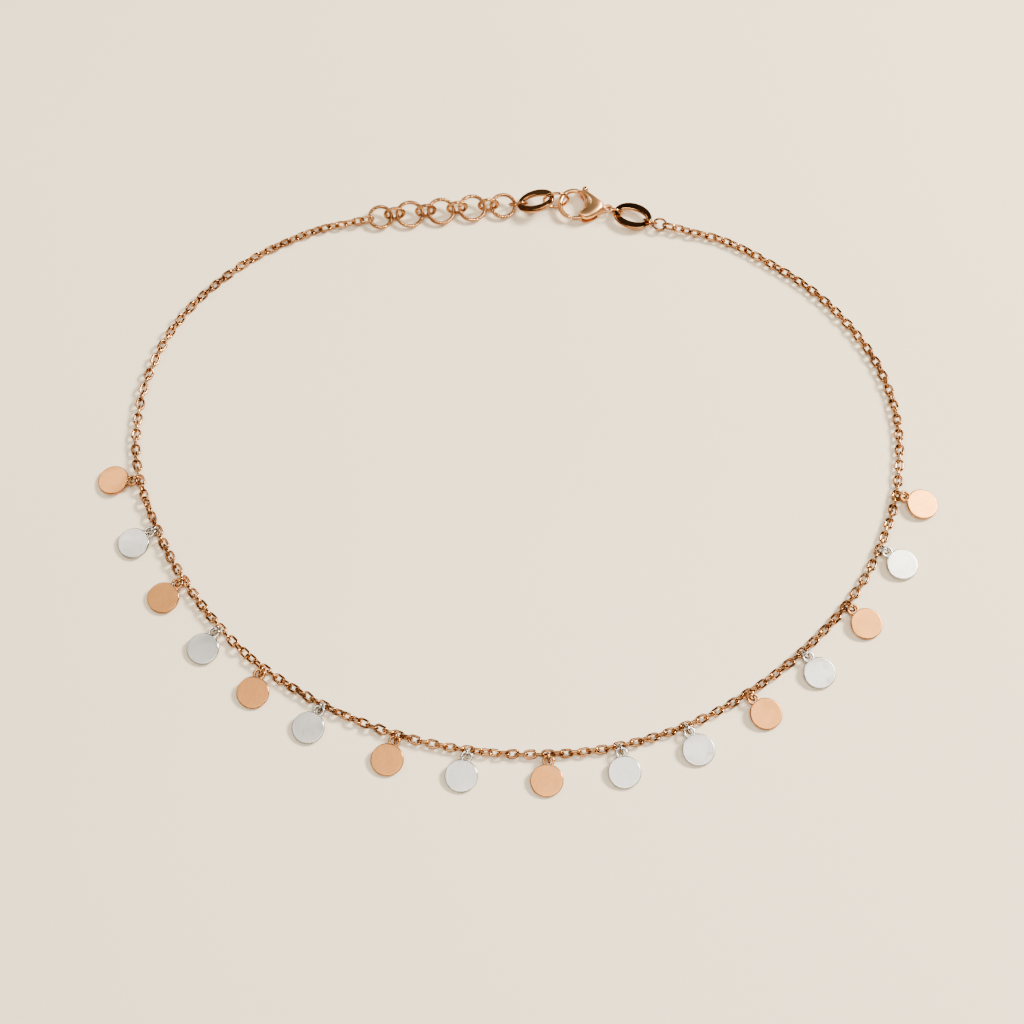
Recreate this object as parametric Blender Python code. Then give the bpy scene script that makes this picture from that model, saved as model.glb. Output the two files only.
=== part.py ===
"""A charm anklet: a cable chain laid in an open loop on a flat surface.

Sixteen round discs hang on jump rings along the front of the loop. The back is closed by a
lobster clasp between two flat oval links, and an extender of five rings leads to the chain.
Lengths are metres, +Z is up and the viewer of the photograph stands on the -Y side.
"""

import math

import bmesh
import bpy
import numpy as np
from mathutils import Matrix, Vector

MM = 0.001

# Clearance between metal that hangs on metal, and the distance under which mesh points are joined
PLAY = 0.08 * MM
WELD = 0.0005 * MM

# Chain: one link of the cable chain, and the tube that its run of links fills
LINK_WIRE = 0.34 * MM
LINK_WIDTH = 1.22 * MM
LINK_LENGTH = 1.80 * MM
TUBE_DEPTH = 0.22 * MM
TUBE_STEP = 3.5 * MM
ROUTE_STEPS = 10
END_LINK_WIDTH = 1.50 * MM
END_LINK_LENGTH = 2.10 * MM
HALVES_GAP = 0.30 * MM
CHAIN_REST = 0.65 * MM
LINK_POINTS = 12

# Route of the chain, from the extender round the front to the clasp: x and y in millimetres
ROUTE = (
    (-25.2, 41.3), (-30.7, 38.7), (-34.6, 36.2), (-38.2, 33.1), (-41.2, 29.8), (-43.6, 26.3),
    (-45.4, 22.4), (-46.8, 17.8), (-47.4, 13.0), (-47.4, 8.5), (-46.6, 4.2), (-45.2, 0.0),
    (-42.3, -6.4), (-38.6, -12.3), (-34.0, -18.0), (-28.7, -22.6), (-21.2, -27.2),
    (-12.0, -30.8), (-2.0, -32.6), (8.1, -32.5), (16.2, -30.8), (24.2, -27.5), (32.3, -22.0),
    (39.0, -15.5), (43.7, -9.0), (47.0, -1.5), (48.5, 5.0), (48.8, 12.5), (47.3, 19.4),
    (44.3, 25.4), (39.4, 31.5), (33.4, 36.2), (27.6, 39.6),
)

# Charms: metal, place along the chain from its first end in mm, and swing from square in degrees
CHARMS = (
    ("rose", 52.6, -22), ("silver", 60.1, 10), ("rose", 68.0, 13), ("silver", 76.0, 17),
    ("rose", 83.8, 20), ("silver", 92.4, -3), ("rose", 102.2, -3), ("silver", 110.9, -7),
    ("rose", 120.5, -7), ("silver", 129.1, -5), ("silver", 137.5, 4), ("rose", 146.2, 7),
    ("silver", 154.9, -9), ("rose", 163.3, -9), ("silver", 172.2, -16), ("rose", 180.2, -10),
)
DISC_RADIUS = 2.00 * MM
DISC_THICKNESS = 0.42 * MM
DISC_EDGE = 0.09 * MM
DISC_POINTS = 23
LUG_RADIUS = 0.76 * MM
LUG_HOLE = 0.44 * MM
LUG_POINTS = 8
LUG_HOLE_POINTS = 10
LUG_REACH = 2.40 * MM
LUG_ABOVE_LINK = 0.07 * MM

# Jump ring of each charm
CHARM_RING_RADIUS = 0.67 * MM
CHARM_RING_WIRE = 0.30 * MM
CHARM_RING_TURN = math.radians(8)
CHARM_RING_LIFT = 0.10 * MM
CHARM_RING_OFFSET = 0.56 * MM
LUG_OFFSET = 1.04 * MM

# Extender: five face-up rings held by smaller rings on edge
EXTENDER_PLACES = ((-17.25, 43.0), (-13.4, 43.45), (-9.3, 43.9), (-5.2, 44.4), (-1.15, 44.75))
EXTENDER_RADII = (1.45 * MM, 1.66 * MM, 1.66 * MM, 1.66 * MM, 1.55 * MM)
EXTENDER_WIRE = 0.50 * MM
EXTENDER_TILT = math.radians(12)
EXTENDER_POINTS = 14
CONNECTOR_RADIUS = 1.20 * MM
CONNECTOR_WIRE = 0.46 * MM
CONNECTOR_RISE = 0.48 * MM
CONNECTOR_LEAN = math.radians(0)
RING_LEAN = math.radians(27)
RING_POINTS = 12
BALL_POINTS = 8

# Flat oval links beside the clasp
OVAL_LENGTH = 5.20 * MM
OVAL_WIDTH = 3.90 * MM
OVAL_HOLE_LENGTH = 3.70 * MM
OVAL_HOLE_WIDTH = 1.75 * MM
OVAL_THICKNESS = 0.50 * MM
OVAL_EDGE = 0.12 * MM
OVAL_POINTS = 24
LEFT_OVAL_GAP = 0.10 * MM
LEFT_OVAL_YAW = math.radians(-3)
LEFT_OVAL_PITCH = math.radians(22)
LEFT_OVAL_ROLL = math.radians(10)
LEFT_OVAL_RISE = 0.72 * MM
RIGHT_OVAL_YAW = math.radians(-20)
RIGHT_OVAL_GAP = 0.15 * MM

# Plain jump rings and the round end link
SMALL_RING_RADIUS = 1.20 * MM
SMALL_RING_WIRE = 0.30 * MM
CLAW_RING_ROOM = 0.625 * MM
CLAW_RING_LEAN = math.radians(0)
CLAW_RING_WIRE = 0.36 * MM
TAIL_RING_RADIUS = 1.05 * MM
TAIL_RING_WIRE = 0.30 * MM
SMALL_LINK_RADIUS = 0.90 * MM
SMALL_LINK_WIRE = 0.30 * MM
ROUND_END_RADIUS = 0.85 * MM
ROUND_END_WIRE = 0.30 * MM
ROUND_END_GAP = 0.15 * MM

# Clasp, in its own frame: the claw's opening at the origin and the tail along +X
CLASP_PLACE = (8.1, 45.0)
CLASP_YAW = math.radians(-6)
CLASP_THICKNESS = 1.90 * MM
CLASP_EDGE = 0.20 * MM
OPENING_WIDTH = 2.80 * MM
OPENING_HEIGHT = 3.60 * MM
HOOK_ROOT_WIRE = 0.56 * MM
HOOK_WIRE = 0.75 * MM
HOOK_TIP_WIRE = 0.60 * MM
HOOK_START = math.radians(64)
HOOK_END = math.radians(255)
HOOK_POINTS = 16
HOOK_KNOB = 0.34 * MM
HOOK_WIDEST = 0.55
SHOULDER_START = math.radians(-50)
SHOULDER_POINTS = 8
TAIL_PLACE = (4.60 * MM, -0.20 * MM)
TAIL_EYE_RADIUS = 0.48 * MM
TAIL_EYE_WIRE = 0.34 * MM
SLOT_HEIGHT = 0.70 * MM
SLOT_START = 0.85 * MM
SLOT_END = 3.30 * MM
BODY_REACH = 3.88 * MM
# Flat face of the body, inside its rounded edge, from the shoulder round the neck to the lower arm:
# x as a share of the body's reach and y as a share of half the opening's height
BODY_EDGE = (
    (0.16, 1.10), (0.26, 1.10), (0.45, 0.89), (0.675, 0.57), (0.875, 0.27), (1.00, 0.07),
    (1.00, -0.27), (0.875, -0.64), (0.71, -0.99), (0.515, -1.21), (0.41, -1.19), (0.335, -1.055),
)

# Lever of the clasp
PIVOT = (2.20 * MM, -1.20 * MM)
PIN_RADIUS = 0.25 * MM
HUB_RADIUS = 0.55 * MM
LEVER_THICKNESS = 0.50 * MM
GATE_WIRE = 0.44 * MM
THUMB_WIRE = 0.46 * MM
NUB_RADIUS = 0.42 * MM
GATE_REACH = 2.00 * MM
THUMB_REACH = 3.70 * MM
# Centre lines of the lever's two arms, as shares of their reach from the pivot
GATE_ARM = ((0, 0), (-0.29, -0.27), (-0.61, -0.41), (-1.00, -0.44))
THUMB_ARM = ((0, 0), (-0.08, 0.16), (-0.11, 0.38), (-0.145, 0.595), (-0.225, 0.81), (-0.235, 1.00))

CLOSURE_HEIGHT = CLASP_THICKNESS / 2

METALS = {
    "rose": ((0.86, 0.52, 0.36), 0.16),
    "silver": ((0.86, 0.85, 0.83), 0.18),
}


def clear_scene():
    """Removes every object that the file opens with."""
    for obj in list(bpy.data.objects):
        bpy.data.objects.remove(obj, do_unlink=True)


def new_collection(name, parent, hidden=False):
    collection = bpy.data.collections.new(name)
    collection.hide_render = hidden
    parent.children.link(collection)
    return collection


def metal(name):
    """A polished metal of the given name, made once."""
    found = bpy.data.materials.get(name)
    if found:
        return found
    colour, roughness = METALS[name]
    material = bpy.data.materials.new(name)
    material.use_nodes = True
    shader = material.node_tree.nodes["Principled BSDF"]
    shader.inputs["Base Color"].default_value = (*colour, 1)
    shader.inputs["Metallic"].default_value = 1
    shader.inputs["Roughness"].default_value = roughness
    return material


def at_height(place, height):
    """A point from x and y in millimetres and a height in metres."""
    return Vector((place[0] * MM, place[1] * MM, height))


def unit_towards(start, end):
    """The level unit vector from one point towards another."""
    return Vector((end.x - start.x, end.y - start.y, 0)).normalized()


def turned(vector, angle):
    """A vector turned about the vertical."""
    return Matrix.Rotation(angle, 3, "Z") @ vector


def frame(centre, first, second):
    """A matrix at the centre whose X and Y axes are the two square unit vectors."""
    third = first.cross(second)
    return Matrix.Translation(centre) @ Matrix((first, second, third)).transposed().to_4x4()


def curve_object(name, collection, splines, wire, closed, sides=6):
    """A POLY curve with a round section. Each spline is a list of (point, share of the wire)."""
    data = bpy.data.curves.new(name, "CURVE")
    data.dimensions = "3D"
    data.bevel_depth = wire / 2
    data.bevel_resolution = (sides - 4) // 2
    data.use_fill_caps = True
    for rows in splines:
        spline = data.splines.new("POLY")
        spline.points.add(len(rows) - 1)
        for point, (place, share) in zip(spline.points, rows):
            point.co = (*place, 1)
            point.radius = share
        spline.use_cyclic_u = closed
    obj = bpy.data.objects.new(name, data)
    collection.objects.link(obj)
    return obj


def even(points):
    """Rows for curve_object with the same wire all along."""
    return [(point, 1) for point in points]


def as_mesh(curve):
    """Replaces a curve object with its welded mesh, so that a Boolean can take it."""
    graph = bpy.context.evaluated_depsgraph_get()
    mesh = bpy.data.meshes.new_from_object(curve.evaluated_get(graph))
    work = bmesh.new()
    work.from_mesh(mesh)
    bmesh.ops.remove_doubles(work, verts=work.verts, dist=WELD)
    bmesh.ops.recalc_face_normals(work, faces=work.faces)
    work.to_mesh(mesh)
    work.free()
    name, matrix, collections = curve.name, curve.matrix_basis.copy(), curve.users_collection
    bpy.data.objects.remove(curve, do_unlink=True)
    obj = bpy.data.objects.new(name, mesh)
    obj.matrix_basis = matrix
    for collection in collections:
        collection.objects.link(obj)
    return obj


def mesh_object(name, collection, build):
    """An object whose mesh the given function makes in a bmesh."""
    mesh = bpy.data.meshes.new(name)
    work = bmesh.new()
    build(work)
    work.to_mesh(mesh)
    work.free()
    obj = bpy.data.objects.new(name, mesh)
    collection.objects.link(obj)
    return obj


def cylinder(name, collection, radius, height, centre):
    def build(work):
        bmesh.ops.create_cone(
            work, cap_ends=True, segments=RING_POINTS, radius1=radius, radius2=radius, depth=height,
            matrix=Matrix.Translation(centre),
        )

    return mesh_object(name, collection, build)


def ball(name, collection, radius, centre):
    def build(work):
        bmesh.ops.create_uvsphere(
            work, u_segments=BALL_POINTS + 2, v_segments=BALL_POINTS, radius=radius,
            matrix=Matrix.Translation(centre),
        )

    return mesh_object(name, collection, build)


def block(name, collection, low, high):
    def build(work):
        size = Vector(high) - Vector(low)
        middle = (Vector(high) + Vector(low)) / 2
        place = Matrix.Translation(middle) @ Matrix.Diagonal((*size, 1))
        bmesh.ops.create_cube(work, size=1, matrix=place)

    return mesh_object(name, collection, build)


def hide(obj):
    """Marks a cutter or a piece that a Boolean takes in."""
    obj.hide_render = True
    obj.display_type = "WIRE"


def union(obj, collection):
    """Fuses every object of the collection to this one."""
    for piece in collection.objects:
        hide(piece)
    modifier = obj.modifiers.new("fuse", "BOOLEAN")
    modifier.operation = "UNION"
    modifier.operand_type = "COLLECTION"
    modifier.collection = collection
    modifier.solver = "EXACT"


def cut(obj, cutter):
    hide(cutter)
    modifier = obj.modifiers.new("cut", "BOOLEAN")
    modifier.operation = "DIFFERENCE"
    modifier.object = cutter
    modifier.solver = "EXACT"


def plate(name, collection, outlines, thickness, edge):
    """A flat piece with rounded edges from closed outlines, drawn the edge's width inside the metal."""
    data = bpy.data.curves.new(name, "CURVE")
    data.dimensions = "2D"
    data.fill_mode = "BOTH"
    data.extrude = thickness / 2 - edge
    data.bevel_depth = edge
    data.bevel_resolution = 0
    for outline in outlines:
        spline = data.splines.new("POLY")
        spline.points.add(len(outline) - 1)
        for point, (x, y) in zip(spline.points, outline):
            point.co = (x, y, 0, 1)
        spline.use_cyclic_u = True
    obj = bpy.data.objects.new(name, data)
    collection.objects.link(obj)
    return obj


def arc(centre, radii, start, end, count):
    """Points on an elliptic arc from one angle to another, both ends included."""
    angles = np.linspace(start, end, count)
    return [(centre[0] + radii[0] * math.cos(a), centre[1] + radii[1] * math.sin(a)) for a in angles]


def ellipse(radii, count):
    return arc((0, 0), radii, 0, 2 * math.pi * (1 - 1 / count), count)


def ring(name, collection, matrix, radius, wire, points=RING_POINTS):
    """A round wire ring in the X-Y plane of the matrix, with the given radius to the wire's middle."""
    circle = [(x, y, 0) for x, y in ellipse((radius, radius), points)]
    obj = curve_object(name, collection, [even(circle)], wire, closed=True)
    obj.matrix_basis = matrix
    return obj


def link_points(length, width, wire):
    """The wire's middle line round a link with straight sides and round ends, along X."""
    end = (width - wire) / 2
    straight = (length - wire) / 2 - end
    half = LINK_POINTS // 2
    right = arc((straight, 0), (end, end), -math.pi / 2, math.pi / 2, half)
    left = arc((-straight, 0), (end, end), math.pi / 2, 3 * math.pi / 2, half)
    return [(x, y, 0) for x, y in right + left]


def link(name, collection, matrix, length, width):
    points = link_points(length, width, LINK_WIRE)
    obj = curve_object(name, collection, [even(points)], LINK_WIRE, closed=True)
    obj.matrix_basis = matrix
    return as_mesh(obj)


def standing_frame(centre, along, lean=RING_LEAN):
    """The frame of a ring on edge that follows a level direction and leans towards the viewer."""
    viewer = Vector((0, -1, 0))
    up = Vector((0, 0, 1)) * math.cos(lean) + viewer * math.sin(lean)
    up = (up - along * up.dot(along)).normalized()
    return frame(centre, along, up)


def smooth_route(points):
    """Points of a Catmull-Rom curve through the given points, as an array."""
    knots = np.array([tuple(p) for p in points])
    knots = np.vstack([2 * knots[0] - knots[1], knots, 2 * knots[-1] - knots[-2]])
    found = []
    for a, b, c, d in zip(knots, knots[1:], knots[2:], knots[3:]):
        for t in np.arange(ROUTE_STEPS) / ROUTE_STEPS:
            found.append(0.5 * (2 * b + (c - a) * t + (2 * a - 5 * b + 4 * c - d) * t**2
                                + (3 * b - a - 3 * c + d) * t**3))
    return np.array(found + [knots[-2]])


class Route:
    """The chain's middle line, read by the distance from its first end."""

    def __init__(self, points):
        self.points = smooth_route(points)
        steps = np.linalg.norm(np.diff(self.points, axis=0), axis=1)
        self.distances = np.concatenate([[0], np.cumsum(steps)])
        self.length = self.distances[-1]

    def place(self, distance):
        return Vector([np.interp(distance, self.distances, self.points[:, i]) for i in range(3)])

    def along(self, distance):
        """The level direction of the chain at a place."""
        return unit_towards(self.place(distance - LINK_LENGTH), self.place(distance + LINK_LENGTH))


def tube(name, collection, route, start, end):
    """The tube that stands for the links between two places, with flat ends."""
    count = max(2, math.ceil((end - start) / TUBE_STEP) + 1)
    points = [route.place(d) for d in np.linspace(start, end, count)]
    return as_mesh(curve_object(name, collection, [even(points)], LINK_WIDTH, closed=False, sides=8))


def chain_half(name, parts, helpers, route, start, end, carriers, end_frame):
    """One half of the chain: tubes fused to the face-up link that carries each charm and to its end link."""
    fused = new_collection(name + " pieces", helpers, hidden=True)
    inset = LINK_LENGTH / 2 - TUBE_DEPTH
    stops = [start] + [d for carrier in carriers for d in (carrier - inset, carrier + inset)] + [end]
    body = tube(name, parts, route, stops[0], stops[1])
    for i, (first, last) in enumerate(zip(stops[2::2], stops[3::2])):
        tube(f"{name} tube {i}", fused, route, first, last)
    for i, carrier in enumerate(carriers):
        along = route.along(carrier)
        matrix = frame(route.place(carrier), along, turned(along, math.pi / 2))
        link(f"{name} carrier {i}", fused, matrix, LINK_LENGTH, LINK_WIDTH)
    link(f"{name} end", fused, end_frame, END_LINK_LENGTH, END_LINK_WIDTH)
    union(body, fused)
    return body


def charm(name, collection, route, distance, swing):
    """A disc with a pierced lug, its outer rim resting and its lug over the carrying link."""
    edge = DISC_EDGE
    cross = (LUG_REACH**2 + LUG_RADIUS**2 - DISC_RADIUS**2) / (2 * LUG_REACH)
    side = math.sqrt(LUG_RADIUS**2 - cross**2)
    disc_angle = math.atan2(side, cross - LUG_REACH)
    lug_angle = math.atan2(side, cross)
    disc_radius = DISC_RADIUS - edge
    lug_radius = LUG_RADIUS - edge
    disc = arc((LUG_REACH, 0), (disc_radius, disc_radius), disc_angle, -disc_angle, DISC_POINTS)
    lug = arc((0, 0), (lug_radius, lug_radius), -lug_angle, lug_angle - 2 * math.pi, LUG_POINTS)
    hole_radius = LUG_HOLE + edge
    hole = ellipse((hole_radius, hole_radius), LUG_HOLE_POINTS)
    obj = plate(name, collection, [disc + lug[1:-1], hole], DISC_THICKNESS, edge)
    outward = turned(route.along(distance), -math.pi / 2)
    hole_place = route.place(distance) + outward * LUG_OFFSET
    inner = (LUG_RADIUS + LUG_HOLE) / 2
    drop = CHAIN_REST + LINK_WIRE / 2 + LUG_ABOVE_LINK
    tilt = math.asin(drop / (inner + LUG_REACH + DISC_RADIUS))
    hole_place.z = drop + DISC_THICKNESS / 2 - inner * math.tan(tilt)
    heading = math.atan2(outward.y, outward.x) + swing
    turn = Matrix.Rotation(heading, 4, "Z") @ Matrix.Rotation(tilt, 4, "Y")
    obj.matrix_basis = Matrix.Translation(hole_place) @ turn
    return obj


def charm_ring(name, collection, route, distance):
    """The upright jump ring through the carrying link's hole and the lug's hole."""
    along = route.along(distance)
    outward = turned(along, -math.pi / 2)
    centre = route.place(distance) + outward * CHARM_RING_OFFSET
    centre.z = CHARM_RING_RADIUS + CHARM_RING_WIRE / 2 + CHARM_RING_LIFT
    across = turned(outward, CHARM_RING_TURN)
    matrix = frame(centre, across, Vector((0, 0, 1)))
    return ring(name, collection, matrix, CHARM_RING_RADIUS, CHARM_RING_WIRE)


def oval(name, collection, matrix):
    outer = ellipse((OVAL_LENGTH / 2 - OVAL_EDGE, OVAL_WIDTH / 2 - OVAL_EDGE), OVAL_POINTS)
    hole_radii = (OVAL_HOLE_LENGTH / 2 + OVAL_EDGE, OVAL_HOLE_WIDTH / 2 + OVAL_EDGE)
    hole = ellipse(hole_radii, OVAL_POINTS * 2 // 3)
    obj = plate(name, collection, [outer, hole], OVAL_THICKNESS, OVAL_EDGE)
    obj.matrix_basis = matrix
    return obj


def ring_on_floor(radius, wire):
    """The height of a leaning ring's middle when its lowest wire lies on the surface."""
    return radius * math.cos(RING_LEAN) + wire / 2


def clasp_body(parts, helpers, matrix):
    """The claw: a domed body slotted for the lever, with the hook, the pin and the tail eye fused on."""
    fused = new_collection("clasp pieces", helpers, hidden=True)
    opening = (OPENING_WIDTH / 2 + CLASP_EDGE, OPENING_HEIGHT / 2 + CLASP_EDGE)
    shoulder = arc((0, 0), opening, SHOULDER_START, HOOK_START, SHOULDER_POINTS)
    outline = shoulder + [(x * BODY_REACH, y * OPENING_HEIGHT / 2) for x, y in BODY_EDGE]
    body = as_mesh(plate("clasp_body", parts, [outline], CLASP_THICKNESS, CLASP_EDGE))

    slot_low = (SLOT_START, -OPENING_HEIGHT, -SLOT_HEIGHT / 2)
    slot_high = (SLOT_END, OPENING_HEIGHT, SLOT_HEIGHT / 2)
    slot = block("lever slot", helpers, slot_low, slot_high)

    middle = (OPENING_WIDTH / 2 + HOOK_WIRE / 2, OPENING_HEIGHT / 2 + HOOK_TIP_WIRE / 2)
    hook_points = arc((0, 0), middle, HOOK_START, HOOK_END, HOOK_POINTS)
    stations = np.linspace(0, 1, HOOK_POINTS)
    wires = np.interp(stations, (0, HOOK_WIDEST, 1), (HOOK_ROOT_WIRE, HOOK_WIRE, HOOK_TIP_WIRE))
    rows = [((x, y, 0), wire / HOOK_WIRE) for (x, y), wire in zip(hook_points, wires)]
    as_mesh(curve_object("hook", fused, [rows], HOOK_WIRE, closed=False, sides=8))
    ball("hook knob", fused, HOOK_KNOB, (*hook_points[-1], 0))
    cylinder("pin", fused, PIN_RADIUS, CLASP_THICKNESS - 2 * CLASP_EDGE, (*PIVOT, 0))
    eye = ring("tail eye", fused, Matrix.Translation((*TAIL_PLACE, 0)), TAIL_EYE_RADIUS, TAIL_EYE_WIRE)
    as_mesh(eye)

    for obj in [body, slot, *fused.objects]:
        obj.matrix_basis = matrix @ obj.matrix_basis
    cut(body, slot)
    union(body, fused)
    return body


def clasp_lever(parts, helpers, matrix):
    """The lever: a hub on the pin, the gate arm that closes the claw and the thumb arm with its nub."""
    fused = new_collection("lever pieces", helpers, hidden=True)
    lever = cylinder("clasp_lever", parts, HUB_RADIUS, LEVER_THICKNESS, (0, 0, 0))
    arms = (
        ("gate", GATE_ARM, GATE_REACH, GATE_WIRE, GATE_WIRE / 2),
        ("thumb", THUMB_ARM, THUMB_REACH, THUMB_WIRE, NUB_RADIUS),
    )
    for name, arm, reach, wire, end_radius in arms:
        points = [(x * reach, y * reach, 0) for x, y in arm]
        as_mesh(curve_object(name, fused, [even(points)], wire, closed=False, sides=8))
        ball(name + " end", fused, end_radius, points[-1])
    bore = cylinder("pin bore", helpers, PIN_RADIUS + PLAY, CLASP_THICKNESS, (0, 0, 0))
    for obj in [lever, bore, *fused.objects]:
        obj.matrix_basis = matrix @ Matrix.Translation((*PIVOT, 0)) @ obj.matrix_basis
    union(lever, fused)
    cut(lever, bore)
    return lever


def extender(parts):
    """The five face-up rings and the four rings on edge between them."""
    places = [at_height(place, CLOSURE_HEIGHT) for place in EXTENDER_PLACES]
    made = []
    for i, (place, radius) in enumerate(zip(places, EXTENDER_RADII)):
        near = places[max(i - 1, 0)], places[min(i + 1, len(places) - 1)]
        along = unit_towards(*near)
        heading = math.atan2(along.y, along.x)
        turn = Matrix.Rotation(heading, 4, "Z") @ Matrix.Rotation(EXTENDER_TILT, 4, "X")
        matrix = Matrix.Translation(place) @ turn
        made.append(
            ring(f"extender_ring_{i + 1}", parts, matrix, radius, EXTENDER_WIRE, EXTENDER_POINTS)
        )
    for i, (first, second) in enumerate(zip(places, places[1:])):
        along = unit_towards(first, second)
        middle = (first + second + along * (EXTENDER_RADII[i] - EXTENDER_RADII[i + 1])) / 2
        matrix = standing_frame(middle, along, CONNECTOR_LEAN)
        matrix = matrix @ Matrix.Translation((0, CONNECTOR_RISE, 0))
        made.append(ring(f"connector_{i + 1}", parts, matrix, CONNECTOR_RADIUS, CONNECTOR_WIRE))
    return made, places[0], places[-1]


def left_closure(parts, last_ring, claw_edge):
    """The small ring, the left oval and the claw ring, between the extender and the hook's outer edge."""
    along = unit_towards(last_ring, claw_edge)
    ring_edge = last_ring + along * (EXTENDER_RADII[-1] + EXTENDER_WIRE / 2)
    yaw = Matrix.Rotation(LEFT_OVAL_YAW, 4, "Z")
    tip = Matrix.Rotation(-LEFT_OVAL_PITCH, 4, "Y") @ Matrix.Rotation(-LEFT_OVAL_ROLL, 4, "X")
    half = OVAL_LENGTH / 2 * math.cos(LEFT_OVAL_PITCH)
    centre = ring_edge + along * (LEFT_OVAL_GAP + half)
    centre.z = CLOSURE_HEIGHT + LEFT_OVAL_RISE
    matrix = Matrix.Translation(centre) @ yaw @ tip
    made = [oval("left_oval", parts, matrix)]

    bar = (OVAL_LENGTH - OVAL_HOLE_LENGTH) / 2
    raised_bar = matrix @ Vector(((OVAL_LENGTH - bar) / 2, 0, 0))
    grasp = (LEFT_OVAL_GAP + bar - EXTENDER_WIRE) / 2
    small = ring_edge + along * grasp
    small.z = ring_on_floor(SMALL_RING_RADIUS, SMALL_RING_WIRE)
    matrix = standing_frame(small, along)
    made.append(ring("small_ring", parts, matrix, SMALL_RING_RADIUS, SMALL_RING_WIRE))

    hook = claw_edge + along * HOOK_WIRE / 2
    hook.z = CLOSURE_HEIGHT
    claw = (raised_bar + hook) / 2
    radius = (raised_bar - hook).length / 2 + CLAW_RING_ROOM
    claw.z = max(claw.z, radius + CLAW_RING_WIRE / 2)
    matrix = standing_frame(claw, along, CLAW_RING_LEAN)
    made.append(ring("claw_ring", parts, matrix, radius, CLAW_RING_WIRE))
    return made


def right_closure(parts, tail):
    """The tail ring, the right oval, the small link and the round end link, out from the tail eye."""
    along = turned(Vector((1, 0, 0)), RIGHT_OVAL_YAW)
    bar = (OVAL_LENGTH - OVAL_HOLE_LENGTH) / 2
    eye_edge = tail + along * (TAIL_EYE_RADIUS + TAIL_EYE_WIRE / 2)
    centre = eye_edge + along * (RIGHT_OVAL_GAP + OVAL_LENGTH / 2)
    matrix = Matrix.Translation(centre) @ Matrix.Rotation(RIGHT_OVAL_YAW, 4, "Z")
    made = [oval("right_oval", parts, matrix)]

    hold = eye_edge + along * (RIGHT_OVAL_GAP + bar - TAIL_EYE_WIRE) / 2
    hold.z = ring_on_floor(TAIL_RING_RADIUS, TAIL_RING_WIRE)
    made.append(ring("tail_ring", parts, standing_frame(hold, along), TAIL_RING_RADIUS, TAIL_RING_WIRE))

    oval_end = centre + along * OVAL_LENGTH / 2
    end_edge = ROUND_END_GAP + ROUND_END_WIRE
    hold = oval_end + along * (end_edge - bar) / 2
    hold.z = ring_on_floor(SMALL_LINK_RADIUS, SMALL_LINK_WIRE)
    matrix = standing_frame(hold, along)
    made.append(ring("small_link", parts, matrix, SMALL_LINK_RADIUS, SMALL_LINK_WIRE))

    round_end = oval_end + along * (ROUND_END_GAP + ROUND_END_WIRE / 2 + ROUND_END_RADIUS)
    matrix = Matrix.Translation(round_end)
    made.append(ring("round_end_link", parts, matrix, ROUND_END_RADIUS, ROUND_END_WIRE))
    return made, round_end


def end_link_frame(held, radius, wire, towards):
    """The frame of the chain's upright end link, hooked into a ring, and where its tube starts."""
    along = unit_towards(held, towards)
    pass_place = radius - wire / 2 - PLAY - LINK_WIRE / 2
    centre = held + along * (pass_place + (END_LINK_LENGTH - LINK_WIRE) / 2)
    start = centre + along * (END_LINK_LENGTH / 2 - TUBE_DEPTH)
    return frame(centre, along, Vector((0, 0, 1))), start


def stand_on_origin(parts, root):
    """Moves the whole so that the middle of its bounding box's underside is the origin."""
    bpy.context.view_layer.update()
    graph = bpy.context.evaluated_depsgraph_get()
    corners = []
    for obj in parts.objects:
        if obj.type == "EMPTY":
            continue
        shown = obj.evaluated_get(graph)
        mesh = shown.to_mesh()
        corners += [shown.matrix_world @ vertex.co for vertex in mesh.vertices]
        shown.to_mesh_clear()
    low = Vector([min(corner[i] for corner in corners) for i in range(3)])
    high = Vector([max(corner[i] for corner in corners) for i in range(3)])
    root.location = (-(low.x + high.x) / 2, -(low.y + high.y) / 2, -low.z)


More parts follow.
